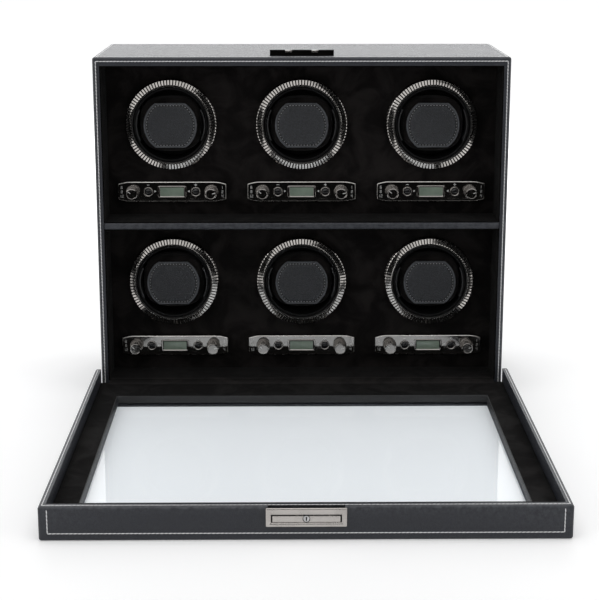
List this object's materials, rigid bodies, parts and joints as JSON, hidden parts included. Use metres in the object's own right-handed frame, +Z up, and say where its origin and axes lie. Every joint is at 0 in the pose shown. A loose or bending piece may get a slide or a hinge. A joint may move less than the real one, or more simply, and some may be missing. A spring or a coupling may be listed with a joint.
{
  "type": "watch winder box",
  "caption": "Leather-covered winder box with two bays of turning watch cuffs in fluted rings, control bars below them and a glazed drop-down door with a lock.",
  "frame": {"origin": "centre of the case's base on the table", "axes": "+Z up, +Y to the back of the case, +X to the right of a person facing the open door"},
  "size_m": [0.4224, 0.4936, 0.353],
  "materials": {
    "leather": "grained dark charcoal leatherette with pale stitching",
    "suede": "black microsuede",
    "suede_cuff": "black microsuede, stuffed, with a stitched leatherette face",
    "gunmetal": "polished gunmetal plating",
    "gunmetal_gloss": "mirror-polished gunmetal moulding",
    "moulded_black": "black moulding",
    "button_black": "glossy black",
    "display": "grey-green liquid crystal display",
    "board": "green circuit board",
    "motor_steel": "plain steel can",
    "steel": "satin steel",
    "back_board": "black covered board",
    "inlet_plastic": "black moulding",
    "glass": "clear float glass"
  },
  "bodies": {
    "case": {"case_shell": "leather", "cover_screws": "steel", "back_cover": "back_board", "power_inlet": "inlet_plastic", "middle_shelf": "leather", "suede_linings": "suede", "winder_panels": "suede", "bezel_rings": "gunmetal", "drum_housings": "moulded_black", "gear_motors": "motor_steel", "control_fascias": "gunmetal_gloss", "display_modules": "display", "control_boards": "board", "case_hinge_leaf": "steel", "hinge_pin": "steel", "lock_keeper": "gunmetal"},
    "upper_left_rotor": {"upper_left_drum": "moulded_black"},
    "upper_left_cuff": {"upper_left_cuff": "suede_cuff"},
    "upper_left_left_knob": {"upper_left_left_knob": "gunmetal"},
    "upper_left_left_button": {"upper_left_left_button": "button_black"},
    "upper_left_right_knob": {"upper_left_right_knob": "gunmetal"},
    "upper_left_right_button": {"upper_left_right_button": "button_black"},
    "upper_middle_rotor": {"upper_middle_drum": "moulded_black"},
    "upper_middle_cuff": {"upper_middle_cuff": "suede_cuff"},
    "upper_middle_left_knob": {"upper_middle_left_knob": "gunmetal"},
    "upper_middle_left_button": {"upper_middle_left_button": "button_black"},
    "upper_middle_right_knob": {"upper_middle_right_knob": "gunmetal"},
    "upper_middle_right_button": {"upper_middle_right_button": "button_black"},
    "upper_right_rotor": {"upper_right_drum": "moulded_black"},
    "upper_right_cuff": {"upper_right_cuff": "suede_cuff"},
    "upper_right_left_knob": {"upper_right_left_knob": "gunmetal"},
    "upper_right_left_button": {"upper_right_left_button": "button_black"},
    "upper_right_right_knob": {"upper_right_right_knob": "gunmetal"},
    "upper_right_right_button": {"upper_right_right_button": "button_black"},
    "lower_left_rotor": {"lower_left_drum": "moulded_black"},
    "lower_left_cuff": {"lower_left_cuff": "suede_cuff"},
    "lower_left_left_knob": {"lower_left_left_knob": "gunmetal"},
    "lower_left_left_button": {"lower_left_left_button": "button_black"},
    "lower_left_right_knob": {"lower_left_right_knob": "gunmetal"},
    "lower_left_right_button": {"lower_left_right_button": "button_black"},
    "lower_middle_rotor": {"lower_middle_drum": "moulded_black"},
    "lower_middle_cuff": {"lower_middle_cuff": "suede_cuff"},
    "lower_middle_left_knob": {"lower_middle_left_knob": "gunmetal"},
    "lower_middle_left_button": {"lower_middle_left_button": "button_black"},
    "lower_middle_right_knob": {"lower_middle_right_knob": "gunmetal"},
    "lower_middle_right_button": {"lower_middle_right_button": "button_black"},
    "lower_right_rotor": {"lower_right_drum": "moulded_black"},
    "lower_right_cuff": {"lower_right_cuff": "suede_cuff"},
    "lower_right_left_knob": {"lower_right_left_knob": "gunmetal"},
    "lower_right_left_button": {"lower_right_left_button": "button_black"},
    "lower_right_right_knob": {"lower_right_right_knob": "gunmetal"},
    "lower_right_right_button": {"lower_right_right_button": "button_black"},
    "door": {"door_frame": "leather", "door_glass": "glass", "door_border": "suede", "door_hinge_leaf": "steel", "lock_plate": "gunmetal"},
    "push_bar": {"lock_push_bar": "gunmetal"},
    "key_plug": {"lock_cylinder": "steel"},
    "claws": {"lock_claws": "steel"}
  },
  "joints": [
    {"name": "door_hinge", "type": "hinge", "parent": "case", "child": "door", "pos_m": [0, -0.0762, 0.0138], "axis": [-1, 0, 0], "range_deg": [0, 90]},
    {"name": "lock_bar_press", "type": "slide", "parent": "door", "child": "push_bar", "axis": [0, 1, 0], "range_m": [0, 0.001], "stiffness_N_per_m": 800},
    {"name": "lock_claw_slide", "type": "slide", "parent": "door", "child": "claws", "axis": [1, 0, 0], "range_m": [0, 0.003]},
    {"name": "lock_key_turn", "type": "hinge", "parent": "push_bar", "child": "key_plug", "pos_m": [0, -0.4164, 0.0187], "axis": [0, 1, 0], "range_deg": [0, 90]},
    {"name": "upper_left_rotor_spin", "type": "hinge", "parent": "case", "child": "upper_left_rotor", "pos_m": [-0.13213, -0.034, 0.2759], "axis": [0, -1, 0], "continuous": true},
    {"name": "upper_left_cuff_pull", "type": "slide", "parent": "upper_left_rotor", "child": "upper_left_cuff", "axis": [0, -1, 0], "range_m": [0, 0.031]},
    {"name": "upper_left_left_knob_turn", "type": "hinge", "parent": "case", "child": "upper_left_left_knob", "pos_m": [-0.17213, -0.034, 0.2067], "axis": [0, 1, 0], "range_deg": [-135, 135]},
    {"name": "upper_left_left_button_press", "type": "slide", "parent": "case", "child": "upper_left_left_button", "axis": [0, 1, 0], "range_m": [0, 0.0012], "stiffness_N_per_m": 300},
    {"name": "upper_left_right_knob_turn", "type": "hinge", "parent": "case", "child": "upper_left_right_knob", "pos_m": [-0.09213, -0.034, 0.2067], "axis": [0, 1, 0], "range_deg": [-135, 135]},
    {"name": "upper_left_right_button_press", "type": "slide", "parent": "case", "child": "upper_left_right_button", "axis": [0, 1, 0], "range_m": [0, 0.0012], "stiffness_N_per_m": 300},
    {"name": "upper_middle_rotor_spin", "type": "hinge", "parent": "case", "child": "upper_middle_rotor", "pos_m": [0, -0.034, 0.2759], "axis": [0, -1, 0], "continuous": true},
    {"name": "upper_middle_cuff_pull", "type": "slide", "parent": "upper_middle_rotor", "child": "upper_middle_cuff", "axis": [0, -1, 0], "range_m": [0, 0.031]},
    {"name": "upper_middle_left_knob_turn", "type": "hinge", "parent": "case", "child": "upper_middle_left_knob", "pos_m": [-0.04, -0.034, 0.2067], "axis": [0, 1, 0], "range_deg": [-135, 135]},
    {"name": "upper_middle_left_button_press", "type": "slide", "parent": "case", "child": "upper_middle_left_button", "axis": [0, 1, 0], "range_m": [0, 0.0012], "stiffness_N_per_m": 300},
    {"name": "upper_middle_right_knob_turn", "type": "hinge", "parent": "case", "child": "upper_middle_right_knob", "pos_m": [0.04, -0.034, 0.2067], "axis": [0, 1, 0], "range_deg": [-135, 135]},
    {"name": "upper_middle_right_button_press", "type": "slide", "parent": "case", "child": "upper_middle_right_button", "axis": [0, 1, 0], "range_m": [0, 0.0012], "stiffness_N_per_m": 300},
    {"name": "upper_right_rotor_spin", "type": "hinge", "parent": "case", "child": "upper_right_rotor", "pos_m": [0.13213, -0.034, 0.2759], "axis": [0, -1, 0], "continuous": true},
    {"name": "upper_right_cuff_pull", "type": "slide", "parent": "upper_right_rotor", "child": "upper_right_cuff", "axis": [0, -1, 0], "range_m": [0, 0.031]},
    {"name": "upper_right_left_knob_turn", "type": "hinge", "parent": "case", "child": "upper_right_left_knob", "pos_m": [0.09213, -0.034, 0.2067], "axis": [0, 1, 0], "range_deg": [-135, 135]},
    {"name": "upper_right_left_button_press", "type": "slide", "parent": "case", "child": "upper_right_left_button", "axis": [0, 1, 0], "range_m": [0, 0.0012], "stiffness_N_per_m": 300},
    {"name": "upper_right_right_knob_turn", "type": "hinge", "parent": "case", "child": "upper_right_right_knob", "pos_m": [0.17213, -0.034, 0.2067], "axis": [0, 1, 0], "range_deg": [-135, 135]},
    {"name": "upper_right_right_button_press", "type": "slide", "parent": "case", "child": "upper_right_right_button", "axis": [0, 1, 0], "range_m": [0, 0.0012], "stiffness_N_per_m": 300},
    {"name": "lower_left_rotor_spin", "type": "hinge", "parent": "case", "child": "lower_left_rotor", "pos_m": [-0.13213, -0.034, 0.11235], "axis": [0, -1, 0], "continuous": true},
    {"name": "lower_left_cuff_pull", "type": "slide", "parent": "lower_left_rotor", "child": "lower_left_cuff", "axis": [0, -1, 0], "range_m": [0, 0.031]},
    {"name": "lower_left_left_knob_turn", "type": "hinge", "parent": "case", "child": "lower_left_left_knob", "pos_m": [-0.17213, -0.034, 0.04315], "axis": [0, 1, 0], "range_deg": [-135, 135]},
    {"name": "lower_left_left_button_press", "type": "slide", "parent": "case", "child": "lower_left_left_button", "axis": [0, 1, 0], "range_m": [0, 0.0012], "stiffness_N_per_m": 300},
    {"name": "lower_left_right_knob_turn", "type": "hinge", "parent": "case", "child": "lower_left_right_knob", "pos_m": [-0.09213, -0.034, 0.04315], "axis": [0, 1, 0], "range_deg": [-135, 135]},
    {"name": "lower_left_right_button_press", "type": "slide", "parent": "case", "child": "lower_left_right_button", "axis": [0, 1, 0], "range_m": [0, 0.0012], "stiffness_N_per_m": 300},
    {"name": "lower_middle_rotor_spin", "type": "hinge", "parent": "case", "child": "lower_middle_rotor", "pos_m": [0, -0.034, 0.11235], "axis": [0, -1, 0], "continuous": true},
    {"name": "lower_middle_cuff_pull", "type": "slide", "parent": "lower_middle_rotor", "child": "lower_middle_cuff", "axis": [0, -1, 0], "range_m": [0, 0.031]},
    {"name": "lower_middle_left_knob_turn", "type": "hinge", "parent": "case", "child": "lower_middle_left_knob", "pos_m": [-0.04, -0.034, 0.04315], "axis": [0, 1, 0], "range_deg": [-135, 135]},
    {"name": "lower_middle_left_button_press", "type": "slide", "parent": "case", "child": "lower_middle_left_button", "axis": [0, 1, 0], "range_m": [0, 0.0012], "stiffness_N_per_m": 300},
    {"name": "lower_middle_right_knob_turn", "type": "hinge", "parent": "case", "child": "lower_middle_right_knob", "pos_m": [0.04, -0.034, 0.04315], "axis": [0, 1, 0], "range_deg": [-135, 135]},
    {"name": "lower_middle_right_button_press", "type": "slide", "parent": "case", "child": "lower_middle_right_button", "axis": [0, 1, 0], "range_m": [0, 0.0012], "stiffness_N_per_m": 300},
    {"name": "lower_right_rotor_spin", "type": "hinge", "parent": "case", "child": "lower_right_rotor", "pos_m": [0.13213, -0.034, 0.11235], "axis": [0, -1, 0], "continuous": true},
    {"name": "lower_right_cuff_pull", "type": "slide", "parent": "lower_right_rotor", "child": "lower_right_cuff", "axis": [0, -1, 0], "range_m": [0, 0.031]},
    {"name": "lower_right_left_knob_turn", "type": "hinge", "parent": "case", "child": "lower_right_left_knob", "pos_m": [0.09213, -0.034, 0.04315], "axis": [0, 1, 0], "range_deg": [-135, 135]},
    {"name": "lower_right_left_button_press", "type": "slide", "parent": "case", "child": "lower_right_left_button", "axis": [0, 1, 0], "range_m": [0, 0.0012], "stiffness_N_per_m": 300},
    {"name": "lower_right_right_knob_turn", "type": "hinge", "parent": "case", "child": "lower_right_right_knob", "pos_m": [0.17213, -0.034, 0.04315], "axis": [0, 1, 0], "range_deg": [-135, 135]},
    {"name": "lower_right_right_button_press", "type": "slide", "parent": "case", "child": "lower_right_right_button", "axis": [0, 1, 0], "range_m": [0, 0.0012], "stiffness_N_per_m": 300}
  ],
  "couplings": [
    {"joint": "lock_claw_slide", "follows": "lock_bar_press", "ratio": 3}
  ]
}
